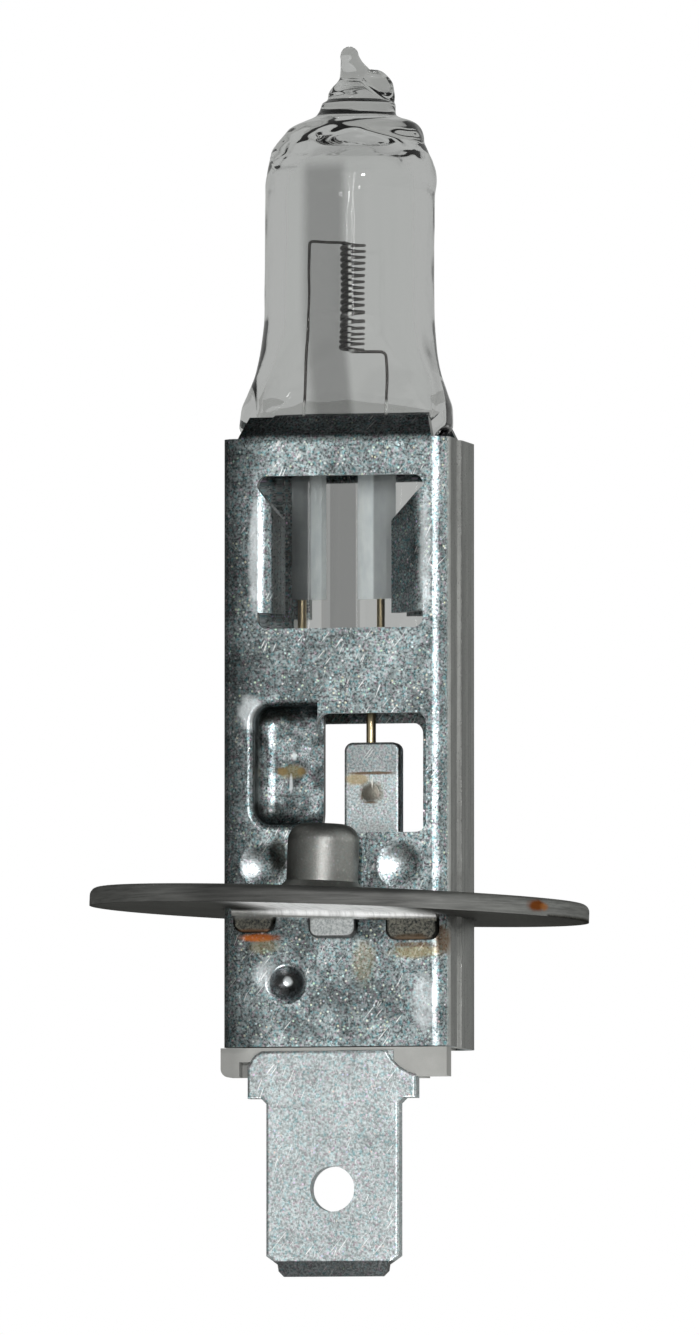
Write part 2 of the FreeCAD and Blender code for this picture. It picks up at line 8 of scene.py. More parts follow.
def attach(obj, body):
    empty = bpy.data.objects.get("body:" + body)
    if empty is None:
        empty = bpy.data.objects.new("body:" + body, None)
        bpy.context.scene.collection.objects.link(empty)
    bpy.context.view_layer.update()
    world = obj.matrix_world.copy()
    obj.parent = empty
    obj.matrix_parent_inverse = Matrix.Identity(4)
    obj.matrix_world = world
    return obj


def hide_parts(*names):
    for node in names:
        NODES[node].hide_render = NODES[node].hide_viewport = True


# Looks of a headlight bulb. +Z is the lamp axis, -Y the front and +X the viewer's right.
# Sizes are in millimetres unless a comment says metres; MM turns them into Blender's metres.
MM = 0.001
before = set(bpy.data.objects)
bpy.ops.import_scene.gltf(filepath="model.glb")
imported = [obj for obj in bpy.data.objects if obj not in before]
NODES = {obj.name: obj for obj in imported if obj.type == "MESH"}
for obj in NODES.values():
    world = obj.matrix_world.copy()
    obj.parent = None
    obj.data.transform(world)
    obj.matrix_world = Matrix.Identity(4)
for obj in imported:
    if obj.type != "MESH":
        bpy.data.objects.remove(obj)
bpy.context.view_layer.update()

# ---------------------------------------------------------------- sizes, in millimetres
# how far the flange's centre lies to the left of the lamp axis
FLANGE_SHIFT = 0.46
# radii between which the flange's sheared rim begins
RIM_FADE = (11.3, 11.58)

PINCH_X = -0.26
WEB_HALF_W = 1.56
WEB_RIM_START = 2.45
WEB_DEPTH = 0.6
WEB_TOP = 20.2
WEB_RUN_OUT = 1.2

COIL_X = 0.14
COIL_R = 0.51
COIL_LOW = 25.45
COIL_HIGH = 30.45
COIL_TURNS = 18
STEPS_PER_TURN = 20
WIRE_R = 0.08
WIRE_Y = 0.115
LEG_LEFT = -2.19
LEG_RIGHT = 1.76
LEG_FOOT = 19.6
LEAD_R = 0.225
LEAD_Y = 0.255
LEAD_TOP = 15.4

# ---------------------------------------------------------------- camera
AIM = Vector((0.0, 0.0, 10.65)) * MM
CAMERA_AZ = 12.5
CAMERA_EL = -3.4
# metres
CAMERA_AWAY = 0.89
PICTURE_H_MM = 62.08
SENSOR = 36


def direction(azimuth, elevation):
    """Unit vector from the object towards a point at that azimuth and elevation, in degrees."""
    a, e = math.radians(azimuth), math.radians(elevation)
    return Vector((math.sin(a) * math.cos(e), -math.cos(a) * math.cos(e), math.sin(e)))


def make_camera():
    data = bpy.data.cameras.new("camera")
    data.sensor_width = SENSOR
    data.lens = SENSOR * CAMERA_AWAY / (PICTURE_H_MM * MM)
    data.clip_start = 0.01
    data.clip_end = 20
    cam = bpy.data.objects.new("camera", data)
    bpy.context.scene.collection.objects.link(cam)
    back = direction(CAMERA_AZ, CAMERA_EL)
    cam.location = AIM + back * CAMERA_AWAY
    cam.rotation_mode = "QUATERNION"
    cam.rotation_quaternion = (-back).to_track_quat("-Z", "Y")
    bpy.context.scene.camera = cam


# ---------------------------------------------------------------- light
AMBIENT = 0.06
# glow of the room as mirrored by the parts: azimuth, elevation, strength, inner and outer angle;
# the last two make a ring of light overhead
GLOWS = (
    (-14, 0, 0.62, 8, 36),
    (84, 6, 1.0, 18, 46),
    (165, 0, 0.16, 20, 60),
    (-56, 5, 0.26, 8, 30),
    (132, 10, 0.6, 10, 29),
    (0, 90, 0.3, 48, 70),
    (0, 90, -0.3, 18, 40),
)
THROUGH_GLASS = 0.43
# the grey behind the glass is a little darker straight above and straight below
SHADES = (
    (0, 90, -0.1, 15, 60),
    (0, -90, -0.05, 15, 60),
)
# name, azimuth, elevation, distance, width and height in metres, watts
LAMPS = (
    ("key", 28, 12, 0.7, 0.05, 0.05, 0.7),
    ("flash", 9, 7.6, 0.86, 0.024, 0.024, 1.5),
    ("strip", 17, 6, 0.7, 0.02, 0.34, 0.085),
    ("bounce", 12, -75, 0.062, 0.02, 0.02, 0.011),
)
# metres
FLOOR_SIZE = 3.0
FLOOR_Z = -0.06


def make_world():
    """White to the camera, even grey round the clear glass, a dim room with glows for the metal."""
    world = bpy.data.worlds.new("studio")
    bpy.context.scene.world = world
    world.use_nodes = True
    nt = world.node_tree
    nt.nodes.clear()
    path = nt.nodes.new("ShaderNodeLightPath")
    place = nt.nodes.new("ShaderNodeTexCoord")

    def background(colour, strength):
        node = nt.nodes.new("ShaderNodeBackground")
        node.inputs["Color"].default_value = colour
        if isinstance(strength, float):
            node.inputs["Strength"].default_value = strength
        else:
            nt.links.new(strength, node.inputs["Strength"])
        return node.outputs[0]

    def near(azimuth, elevation, strength, inner, outer):
        """Strength within inner degrees of a direction, fading to nothing at outer degrees."""
        dot = nt.nodes.new("ShaderNodeVectorMath")
        dot.operation = "DOT_PRODUCT"
        dot.inputs[1].default_value = direction(azimuth, elevation)
        nt.links.new(place.outputs["Generated"], dot.inputs[0])
        edge = nt.nodes.new("ShaderNodeMapRange")
        edge.interpolation_type = "SMOOTHSTEP"
        edge.inputs["From Min"].default_value = math.cos(math.radians(outer))
        edge.inputs["From Max"].default_value = math.cos(math.radians(inner))
        edge.inputs["To Max"].default_value = strength
        nt.links.new(dot.outputs["Value"], edge.inputs["Value"])
        return edge.outputs["Result"]

    def plus(a, b):
        node = nt.nodes.new("ShaderNodeMath")
        for socket, value in zip(node.inputs, (a, b)):
            if isinstance(value, float):
                socket.default_value = value
            else:
                nt.links.new(value, socket)
        return node.outputs[0]

    def with_patches(level, patches):
        for patch in patches:
            level = plus(level, near(*patch))
        return level

    def choose(factor, a, b):
        node = nt.nodes.new("ShaderNodeMixShader")
        nt.links.new(factor, node.inputs[0])
        nt.links.new(a, node.inputs[1])
        nt.links.new(b, node.inputs[2])
        return node.outputs[0]

    # 1 on reflections from rough surfaces, 0 on those from the glass
    dull = nt.nodes.new("ShaderNodeMath")
    dull.operation = "SUBTRACT"
    dull.use_clamp = True
    nt.links.new(path.outputs["Is Glossy Ray"], dull.inputs[0])
    nt.links.new(path.outputs["Is Singular Ray"], dull.inputs[1])
    behind = background((0.985, 1.0, 0.98, 1), with_patches(THROUGH_GLASS, SHADES))
    room = background((0.97, 1.0, 0.97, 1), with_patches(AMBIENT, GLOWS))
    white = background((1, 1, 1, 1), 1.0)
    seen = choose(path.outputs["Is Camera Ray"], choose(dull.outputs[0], behind, room), white)
    out = nt.nodes.new("ShaderNodeOutputWorld")
    nt.links.new(seen, out.inputs[0])


def area_light(name, azimuth, elevation, away, width, height, watts):
    data = bpy.data.lights.new(name, "AREA")
    data.shape = "RECTANGLE"
    data.size = width
    data.size_y = height
    data.energy = watts
    lamp = bpy.data.objects.new(name, data)
    bpy.context.scene.collection.objects.link(lamp)
    back = direction(azimuth, elevation)
    lamp.location = AIM + back * away
    lamp.rotation_mode = "QUATERNION"
    lamp.rotation_quaternion = (-back).to_track_quat("-Z", "Y")
    return lamp


def make_lights():
    """All lamps; the bounce stands so close below the bulb that the camera must not see it."""
    for row in LAMPS:
        lamp = area_light(*row)
        lamp.visible_camera = lamp.name != "bounce"


def make_floor():
    mesh = bpy.data.meshes.new("floor")
    bm = bmesh.new()
    bmesh.ops.create_grid(bm, x_segments=2, y_segments=2, size=FLOOR_SIZE)
    bm.to_mesh(mesh)
    bm.free()
    floor = bpy.data.objects.new("floor", mesh)
    floor.location = (0, 0, FLOOR_Z)
    bpy.context.scene.collection.objects.link(floor)
    mat = bpy.data.materials.new("pale_floor")
    mat.use_nodes = True
    shader = mat.node_tree.nodes["Principled BSDF"]
    shader.inputs["Base Color"].default_value = (0.82, 0.82, 0.81, 1)
    shader.inputs["Roughness"].default_value = 0.8
    mesh.materials.append(mat)


# ---------------------------------------------------------------- material helpers
class Nodes:
    """Small helper to lay out a material's nodes. Texture coordinates are in millimetres."""

    def __init__(self, name):
        self.mat = bpy.data.materials.new(name)
        self.mat.use_nodes = True
        self.tree = self.mat.node_tree
        self.shader = self.tree.nodes["Principled BSDF"]
        metres = self.add("ShaderNodeTexCoord").outputs["Object"]
        self.place = self.mapped(metres, (1000, 1000, 1000))
        self.colour = None

    def add(self, kind, **sets):
        node = self.tree.nodes.new(kind)
        for key, value in sets.items():
            setattr(node, key, value)
        return node

    def link(self, a, b):
        self.tree.links.new(a, b)

    def drive(self, socket, value):
        """Feeds a shader socket, given by name, from a node's output or a plain value."""
        if isinstance(value, (int, float, tuple)):
            self.shader.inputs[socket].default_value = value
        else:
            self.link(value, self.shader.inputs[socket])

    def mapped(self, source, factors, turn=(0, 0, 0)):
        node = self.add("ShaderNodeMapping")
        node.inputs["Scale"].default_value = factors
        node.inputs["Rotation"].default_value = turn
        self.link(source, node.inputs["Vector"])
        return node.outputs[0]

    def vector(self, operation, a, b=None):
        """Vector maths on a node's output and a constant."""
        node = self.add("ShaderNodeVectorMath", operation=operation)
        self.link(a, node.inputs[0])
        if b is not None:
            node.inputs[1].default_value = b
        return node.outputs["Value" if operation == "LENGTH" else "Vector"]

    def noise(self, size, detail=2.0, rough=0.5, at=None):
        """Noise whose blobs are about size millimetres across."""
        node = self.add("ShaderNodeTexNoise")
        node.inputs["Scale"].default_value = 1 / size
        node.inputs["Detail"].default_value = detail
        node.inputs["Roughness"].default_value = rough
        self.link(at or self.place, node.inputs["Vector"])
        return node.outputs["Fac"]

    def lines(self, factors, detail, rough):
        """Noise of size 1 after scaling the three axes; a low factor draws it out into lines."""
        return self.noise(1.0, detail, rough, self.mapped(self.place, factors))

    def cells(self, size):
        node = self.add("ShaderNodeTexVoronoi")
        node.inputs["Scale"].default_value = 1 / size
        self.link(self.place, node.inputs["Vector"])
        return node

    def ramp(self, value, *stops):
        """Grey or colour ramp; each stop is (position, grey value or colour)."""
        node = self.add("ShaderNodeValToRGB")
        elements = node.color_ramp.elements
        while len(elements) < len(stops):
            elements.new(0.5)
        for element, (at, colour) in zip(elements, stops):
            element.position = at
            element.color = (*colour, 1) if isinstance(colour, tuple) else (colour, colour, colour, 1)
        self.link(value, node.inputs[0])
        return node.outputs[0]

    def mix(self, factor, a, b, mode="MIX"):
        node = self.add("ShaderNodeMix", data_type="RGBA", blend_type=mode)
        for socket, value in ((node.inputs[0], factor), (node.inputs[6], a), (node.inputs[7], b)):
            if isinstance(value, tuple):
                socket.default_value = (*value, 1)
            elif isinstance(value, float):
                socket.default_value = value
            else:
                self.link(value, socket)
        return node.outputs[2]

    def math(self, operation, a, b=0.0):
        node = self.add("ShaderNodeMath", operation=operation)
        for socket, value in zip(node.inputs, (a, b)):
            if isinstance(value, (int, float)):
                socket.default_value = value
            else:
                self.link(value, socket)
        return node.outputs[0]

    def fade(self, value, low, high):
        """Smooth step: 0 at low, 1 at high. Low may be the larger of the two."""
        edge = self.add("ShaderNodeMapRange", interpolation_type="SMOOTHSTEP")
        edge.inputs["From Min"].default_value = low
        edge.inputs["From Max"].default_value = high
        self.link(value, edge.inputs["Value"])
        return edge.outputs["Result"]

    def part(self, vector, axis):
        node = self.add("ShaderNodeSeparateXYZ")
        self.link(vector, node.inputs[0])
        return node.outputs[axis]

    def facing(self, axis, low, high):
        """1 where the surface's direction along an axis ("X", "Y" or "Z") passes from low to high."""
        normal = self.add("ShaderNodeNewGeometry").outputs["Normal"]
        return self.fade(self.part(normal, axis), low, high)

    def placed(self, axis, low, high):
        """1 where the position in millimetres along an axis passes from low to high."""
        return self.fade(self.part(self.place, axis), low, high)

    def band(self, axis, stops):
        """Band along an axis: 0 at the first stop, 1 from the second to the third, 0 at the fourth."""
        start, full, still_full, end = stops
        return self.all_of(self.placed(axis, start, full), self.placed(axis, end, still_full))

    def all_of(self, *masks):
        """Product of masks: 1 only where every one is 1."""
        product = masks[0]
        for mask in masks[1:]:
            product = self.math("MULTIPLY", product, mask)
        return product

    def spot(self, centre, radii, ragged=0.35, grain=0.5):
        """Mask that is 1 inside a ragged ellipsoid around centre and fades to 0 at its edge."""
        squeezed = self.vector("DIVIDE", self.vector("SUBTRACT", self.place, centre), radii)
        wobble = self.math("MULTIPLY", self.math("SUBTRACT", self.noise(grain, 3.0), 0.5), ragged * 2)
        return self.fade(self.math("ADD", self.vector("LENGTH", squeezed), wobble), 1.05, 0.45)

    def bump(self, height, strength, distance_mm, after=None):
        node = self.add("ShaderNodeBump")
        node.inputs["Strength"].default_value = strength
        node.inputs["Distance"].default_value = distance_mm * MM
        self.link(height, node.inputs["Height"])
        if after is not None:
            self.link(after, node.inputs["Normal"])
        return node.outputs[0]

    def scratches(self, turn, seed_shift, density):
        """Short thin straight marks, all turned the same way in the XZ plane."""
        moved = self.vector("ADD", self.place, seed_shift)
        turned = self.mapped(moved, (1, 1, 1), (0, math.radians(turn), 0))
        marks = self.noise(1.0, 0.0, 0.5, self.mapped(turned, (16, 1, 0.9)))
        return self.ramp(marks, (density, 0.0), (density + 0.035, 1.0))

    def darken(self, mask, keep):
        """Scales the colour down to keep times itself where the mask is 1."""
        darker = self.mix(1.0, self.colour, (keep, keep, keep), "MULTIPLY")
        self.colour = self.mix(mask, self.colour, darker)

    def finish(self, stains=()):
        """Adds marks, each (centre, radii, strength, colour), and hands over the material."""
        for centre, radii, strength, colour in stains:
            mask = self.math("MULTIPLY", self.spot(centre, radii), strength)
            self.colour = self.mix(mask, self.colour, colour)
        self.drive("Base Color", self.colour)
        return self.mat


# ---------------------------------------------------------------- metal
# Some tones below are painted in place of dark or bright things that the metal would mirror.
RUST = (0.55, 0.14, 0.02)
STRAW = (0.36, 0.29, 0.13)
BROWN = (0.16, 0.09, 0.04)
# near black, for darker patches and a painted shadow
NEAR_BLACK = (0.03, 0.03, 0.025)
# painted highlight colour, for bright patches that stand in for reflections
HIGHLIGHT = (0.93, 0.97, 1.0)

# bands along an axis in millimetres, as Nodes.band takes them
SIDE_SEAM_Y = (-1.3, -1.1, 1.1, 1.3)
CUP_INSIDE_Y = (-2.9, -2.6, -1.6, -1.4)
CUP_INSIDE_Z = (3.0, 3.3, 8.6, 8.9)
RIM_MIDDLE_X = (-6.5, -4.0, 4.0, 6.5)
UNDERSIDE_SHEEN_X = (-4.4, -1.8, 3.4, 5.8)
MIDDLE_TAB_X = (-1.9, -1.4, 1.4, 1.9)

# one row for each mark: centre, radii, strength, colour
SLEEVE_MARKS = (
    # heat tint and rust round the flange's weld tabs
    ((-3.55, -3.25, -2.05), (1.1, 1.2, 0.24), 0.85, RUST),
    ((-3.3, -3.25, -2.45), (0.9, 1.0, 0.42), 0.4, STRAW),
    ((3.8, -3.25, -2.75), (1.5, 1.0, 0.38), 0.65, STRAW),
    ((3.7, -3.25, -2.42), (1.3, 1.0, 0.16), 0.7, BROWN),
    ((5.1, -3.0, -2.2), (0.5, 0.8, 0.9), 0.8, BROWN),
    ((1.4, -3.25, -3.2), (0.7, 1.0, 1.3), 0.35, STRAW),
    # weld of the lead, darker patches in the cup, and painted highlights in it
    ((-2.78, -1.95, 5.75), (0.30, 0.5, 0.26), 0.95, BROWN),
    ((-1.85, -1.95, 5.75), (0.26, 0.5, 0.24), 0.9, BROWN),
    ((-2.3, -1.95, 5.72), (0.9, 0.5, 0.4), 0.5, STRAW),
    ((-3.0, -2.5, 8.35), (1.7, 1.2, 0.62), 0.88, NEAR_BLACK),
    ((-2.20, -1.95, 6.45), (0.16, 0.5, 0.26), 0.7, HIGHLIGHT),
    ((-2.36, -1.95, 5.15), (0.11, 0.4, 0.50), 0.7, HIGHLIGHT),
    ((-2.62, -1.95, 4.60), (0.5, 0.4, 0.09), 0.6, NEAR_BLACK),
    ((-3.3, -2.0, 3.9), (0.8, 1.0, 0.5), 0.5, NEAR_BLACK),
    # painted shadow of the flange's boss, on the sleeve's front to its left
    ((-2.66, -3.25, 1.8), (0.62, 1.0, 1.15), 0.92, NEAR_BLACK),
    # painted highlights beside the cup and on the clamp window's bends, and below the flange
    ((-3.95, -3.25, 8.4), (0.75, 1.0, 1.0), 0.6, HIGHLIGHT),
    ((-3.75, -3.15, 15.8), (0.4, 0.8, 3.4), 0.6, HIGHLIGHT),
    ((4.3, -3.15, 15.6), (0.35, 0.8, 3.4), 0.5, HIGHLIGHT),
    ((-3.25, -3.25, -3.75), (0.7, 1.0, 0.8), 0.45, HIGHLIGHT),
    # the lowest dent mirrors the dark room with a bright point in its middle
    ((-2.28, -2.75, -4.15), (1.15, 0.62, 1.15), 0.95, (0.04, 0.04, 0.04)),
    ((-2.33, -2.65, -4.05), (0.26, 0.4, 0.26), 0.9, HIGHLIGHT),
    # painted highlights at the right edge and in the two upper dents
    ((4.3, -3.25, -5.0), (0.8, 1.0, 1.6), 0.45, HIGHLIGHT),
    ((-3.9, -3.25, 1.4), (0.7, 0.6, 0.9), 0.3, HIGHLIGHT),
    ((2.8, -3.1, 1.6), (0.7, 0.6, 0.8), 0.3, HIGHLIGHT),
)
FLANGE_MARKS = (
    # rust on the rim, then burns at the outer weld tabs
    ((9.9, -5.0, -0.75), (0.55, 0.9, 0.34), 1.0, (0.22, 0.07, 0.02)),
    ((10.3, -4.6, -0.8), (0.3, 0.5, 0.25), 0.8, (0.42, 0.17, 0.05)),
    ((3.7, -3.7, -2.1), (1.2, 0.5, 0.22), 0.7, (0.10, 0.06, 0.03)),
    ((-3.7, -3.7, -1.75), (1.0, 0.5, 0.18), 0.6, (0.12, 0.06, 0.03)),
)
BLADE_STRAW = (0.44, 0.33, 0.16)
BLADE_BROWN = (0.13, 0.07, 0.03)
BLADE_MARKS = (
    # heat tint of the lead's weld across the strip
    ((0.75, -1.9, 5.35), (0.85, 0.8, 0.36), 0.75, BLADE_STRAW),
    ((1.45, -1.9, 5.62), (1.5, 0.8, 0.10), 0.85, BLADE_BROWN),
    ((1.5, -1.9, 4.75), (0.7, 0.8, 0.62), 0.35, BLADE_STRAW),
    ((1.42, -1.95, 4.26), (0.42, 0.6, 0.09), 0.85, BLADE_BROWN),
    ((1.02, -1.95, 4.6), (0.06, 0.5, 0.3), 0.7, BLADE_BROWN),
    # the weld's nugget painted dark to dull its reflection, a painted glint, and a dull patch below
    ((1.42, -1.95, 4.7), (0.66, 0.3, 0.66), 0.9, (0.13, 0.12, 0.10)),
    ((1.5, -1.95, 5.2), (0.045, 0.5, 0.36), 0.6, (1.0, 0.98, 0.9)),
    ((1.5, -1.9, 2.9), (1.2, 0.8, 0.7), 0.35, (0.3, 0.3, 0.29)),
)


def plated(name, base, rough, speckle, tint, waves, clouds, scratched):
    """Plated sheet: light and dark speckle, faint coloured glints, gentle waves, scratches."""
    n = Nodes(name)
    dark = tuple(c * (1 - speckle) for c in base)
    light = tuple(min(1.0, c * (1 + speckle * 0.8)) for c in base)
    fine = n.noise(0.1, 2.5, 0.75)
    colour = n.mix(n.ramp(fine, (0.38, 0.0), (0.62, 1.0)), dark, light)
    hue = n.ramp(n.noise(0.17, 1.0, 0.5), (0.30, (0.62, 0.44, 0.50)), (0.42, (0.5, 0.5, 0.5)),
                 (0.56, (0.5, 0.5, 0.5)), (0.70, (0.34, 0.56, 0.60)))
    colour = n.mix(tint, colour, hue, "OVERLAY")
    broad = n.ramp(n.noise(2.2, 3.0, 0.6), (0.36, clouds), (0.62, 1.0))
    colour = n.mix(1.0, colour, broad, "MULTIPLY")
    cells = n.cells(0.2)
    glints = n.ramp(cells.outputs["Distance"], (0.16, 1.0), (0.34, 0.0))
    chosen = n.ramp(n.noise(0.45, 2.0, 0.6), (0.47, 0.0), (0.56, 1.0))
    sparkle = n.mix(0.35, (1.0, 1.0, 1.0), cells.outputs["Color"])
    strength = n.math("MULTIPLY", n.all_of(glints, chosen), min(1.0, speckle * 1.9))
    colour = n.mix(strength, colour, sparkle)
    normal = n.bump(fine, 0.5, 0.02)
    normal = n.bump(n.noise(2.3, 2.0, 0.5), waves, 0.12, normal)
    if scratched:
        marks = n.math("ADD", n.scratches(-38, (0, 0, 0), 0.75), n.scratches(-22, (31, 7, 3), 0.76))
        patchy = n.ramp(n.noise(1.9, 1.0, 0.5), (0.5, 0.0), (0.58, 1.0))
        marks = n.all_of(marks, patchy)
        colour = n.mix(marks, colour, (1.0, 1.0, 1.0))
        normal = n.bump(marks, -0.25, 0.015, normal)
    n.drive("Roughness", n.math("ADD", n.math("MULTIPLY", fine, 0.2), rough - 0.1))
    n.drive("Metallic", 1.0)
    n.drive("Normal", normal)
    n.colour = colour
    return n


def side_streaks(n):
    """Vertical drawing lines and a darker tone on the sides and across the seam."""
    flat_normal = n.add("ShaderNodeNewGeometry").outputs["True Normal"]
    sideways = n.ramp(n.math("ABSOLUTE", n.part(flat_normal, "X")), (0.8, 0.0), (0.97, 1.0))
    lines = n.lines((1, 7, 0.06), 3.0, 0.7)
    tone = n.ramp(lines, (0.3, (0.23, 0.23, 0.225)), (0.7, (0.50, 0.50, 0.485)))
    n.colour = n.mix(n.math("MAXIMUM", sideways, n.band("Y", SIDE_SEAM_Y)), n.colour, tone)


def cup_swirls(n):
    """Dark swirls painted on the metal inside the pressed cup."""
    inside = n.all_of(n.placed("X", -0.6, -0.9), n.band("Y", CUP_INSIDE_Y), n.band("Z", CUP_INSIDE_Z))
    swirl = n.ramp(n.noise(0.9, 2.0, 0.6), (0.42, 0.34), (0.56, 1.0))
    n.colour = n.mix(inside, n.colour, n.mix(1.0, n.colour, swirl, "MULTIPLY"))


def sleeve_material():
    n = plated("plated_sleeve", base=(0.405, 0.462, 0.474), rough=0.3, speckle=0.68, tint=1.0,
               waves=1.0, clouds=0.46, scratched=True)
    side_streaks(n)
    # painted shade: faces turned to the left are darker
    n.darken(n.facing("X", -0.25, -0.6), 0.8)
    # painted shade: the lip, turned upwards, is darkened
    lip = n.all_of(n.facing("Z", 0.3, 0.62), n.placed("Z", 20.0, 20.6))
    n.darken(lip, 0.3)
    # painted dark reflection over the front's left part, outside the faces already turned left
    left_column = n.all_of(n.placed("X", -2.9, -4.6), n.placed("Y", -2.6, -3.1))
    n.darken(n.all_of(left_column, n.facing("X", -0.6, -0.2)), 0.42)
    cup_swirls(n)
    return n.finish(SLEEVE_MARKS)


def sheared_rim(n):
    """Darker band round the outer edge of the flange; returns its mask."""
    centred = n.vector("ADD", n.place, (FLANGE_SHIFT, 0, 0))
    radius = n.vector("LENGTH", n.mapped(centred, (1, 1, 0)))
    rim = n.fade(radius, *RIM_FADE)
    lines = n.lines((0.5, 0.5, 9), 3.0, 0.6)
    tone = n.ramp(lines, (0.3, (0.20, 0.20, 0.195)), (0.7, (0.34, 0.34, 0.33)))
    n.colour = n.mix(rim, n.colour, tone)
    return rim


def underside_sheen(n):
    """Light streaked patch painted under the flange's front in place of the bright reflection there,
    mostly without the look of metal.
    """
    front = n.all_of(n.placed("Y", -3.0, -3.5), n.placed("Z", -0.55, -0.8))
    sheen = n.all_of(n.facing("Z", -0.1, -0.4), n.band("X", UNDERSIDE_SHEEN_X), front)
    streaks = n.lines((3.2, 0.4, 0.4), 3.0, 0.7)
    n.colour = n.mix(sheen, n.colour, n.ramp(streaks, (0.3, 0.66), (0.56, 1.0)))
    n.drive("Metallic", n.math("SUBTRACT", 1.0, n.math("MULTIPLY", sheen, 0.85)))


def weld_tabs(n):
    """Middle tab painted bright and outer tabs painted dark, as lit and shaded copies of the plating,
    the outer ones also with a brown heat tint; and a painted shadow outline round all three.
    """
    on_tab = n.all_of(n.placed("Z", -1.05, -1.3), n.placed("Y", -4.4, -4.2))
    grain = n.noise(0.11, 2.5, 0.75)
    bright = n.ramp(grain, (0.36, (0.46, 0.49, 0.5)), (0.6, (0.82, 0.84, 0.84)))
    outer = n.ramp(grain, (0.36, (0.05, 0.055, 0.055)), (0.66, (0.30, 0.285, 0.24)))
    n.colour = n.mix(on_tab, n.colour, n.mix(n.band("X", MIDDLE_TAB_X), outer, bright))
    # painted shadow along the tabs' edges
    n.darken(n.all_of(on_tab, n.facing("Y", -0.96, -0.8)), 0.1)


def flange_material():
    n = plated("plated_flange", base=(0.36, 0.36, 0.345), rough=0.42, speckle=0.08, tint=0.12,
               waves=0.3, clouds=0.7, scratched=False)
    rim = sheared_rim(n)
    n.drive("Roughness", n.math("ADD", n.math("MULTIPLY", rim, 0.2), 0.4))
    n.drive("Specular Tint", (0.3, 0.3, 0.29, 1))
    # painted shade on the front middle of the rim
    n.darken(n.all_of(rim, n.band("X", RIM_MIDDLE_X)), 0.5)
    # painted shade on faces turned downwards
    n.darken(n.facing("Z", -0.5, -0.8), 0.28)
    # painted shade over the boss, above the flange's top face
    n.darken(n.placed("Z", 0.3, 0.6), 0.8)
    underside_sheen(n)
    weld_tabs(n)
    return n.finish(FLANGE_MARKS)


def blade_material():
    n = plated("plated_blade", base=(0.57, 0.62, 0.63), rough=0.4, speckle=0.4, tint=0.7,
               waves=0.35, clouds=0.86, scratched=True)
    strip_top = n.placed("Z", 5.45, 5.85)
    n.darken(strip_top, 0.66)
    # painted shade on the tip's bevel, which is turned down
    tip_bevel = n.placed("Z", -17.0, -17.06)
    n.darken(tip_bevel, 0.17)
    return n.finish(BLADE_MARKS)


def wire_material(name, base, rough, marks, glints=()):
    """Drawn wire with fine lines along it; marks are as for Nodes.finish, glints (centre, radii)."""
    n = Nodes(name)
    lines = n.lines((24, 24, 1.2), 2.0, 0.6)
    n.colour = n.mix(lines, tuple(c * 0.6 for c in base), base)
    n.drive("Metallic", 1.0)
    n.drive("Roughness", rough)
    n.drive("Normal", n.bump(lines, 0.3, 0.01))
    metal = n.finish(marks)
    glint = 0.0
    for centre, radii in glints:
        glint = n.math("MAXIMUM", n.spot(centre, radii, 0.1), glint)
    if glints:
        n.drive("Base Color", n.mix(glint, n.colour, (1.0, 1.0, 0.98)))
        n.drive("Metallic", n.math("SUBTRACT", 1.0, glint))
    return metal


def foil_material():
    n = Nodes("molybdenum")
    crinkle = n.noise(0.5, 3.0, 0.6, n.mapped(n.place, (1, 1, 0.35)))
    n.colour = n.mix(n.ramp(crinkle, (0.3, 0.0), (0.7, 1.0)), (0.76, 0.82, 0.84), (0.95, 1.0, 1.0))
    # painted shade on the foils' outer parts, shaded by the sleeve
    outer_left = n.placed("X", -1.8, -1.95)
    outer_right = n.placed("X", 1.3, 1.45)
    n.darken(n.math("ADD", outer_left, outer_right), 0.4)
    n.drive("Metallic", 1.0)
    n.drive("Roughness", 0.3)
    n.drive("Normal", n.bump(crinkle, 0.35, 0.03))
    return n.finish()


# ---------------------------------------------------------------- ceramic and glass
GLASS_BAND_X = (-1.7, -1.0, 0.3, 0.7)
GLASS_BAND_Z = (20.6, 21.6, 33.4, 34.3)
WEB_BAND_X = (-1.12, -1.04, 0.52, 0.6)


def ceramic_material():
    n = Nodes("ceramic")
    n.colour = n.mix(n.noise(1.6, 4.0, 0.6), (0.33, 0.33, 0.315), (0.55, 0.55, 0.53))
    grain = n.noise(0.06, 2.0, 0.6)
    n.colour = n.mix(n.ramp(grain, (0.3, 0.25), (0.55, 0.0)), n.colour, (0.36, 0.36, 0.34))
    # painted shade towards the foot's rounded left edge
    n.darken(n.placed("X", -3.8, -5.0), 0.66)
    n.drive("Roughness", 0.55)
    n.drive("Specular IOR Level", 0.4)
    n.drive("Normal", n.bump(grain, 0.15, 0.012))
    # painted shade at the foot's top left corner
    corner_shade = ((-4.9, -3.2, -7.2), (0.9, 0.6, 0.25), 0.35, (0.2, 0.2, 0.19))
    return n.finish((corner_shade,))


def glass_material():
    """Clear glass with faint drawing streaks; a grey band up its front and a grey pinch web are
    painted shadow, for the lamp's shadow behind it seen through the glass.
    """
    n = Nodes("clear_glass")
    n.drive("Transmission Weight", 1.0)
    n.drive("Roughness", 0.0)
    n.drive("IOR", 1.46)
    streak = n.lines((2.2, 2.2, 0.12), 2.0, 0.5)
    n.colour = n.mix(streak, (0.965, 0.975, 0.97), (1.0, 1.0, 1.0))
    # painted shadow: the grey band up the front
    band = n.all_of(n.band("X", GLASS_BAND_X), n.band("Z", GLASS_BAND_Z))
    n.darken(n.all_of(band, n.placed("Y", -0.2, -0.9)), 0.58)
    # painted shadow: the grey pinch web
    web = n.all_of(n.band("X", WEB_BAND_X), n.placed("Z", 20.9, 20.5))
    n.darken(web, 0.52)
    n.drive("Normal", n.bump(streak, 0.05, 0.02))
    return n.finish()


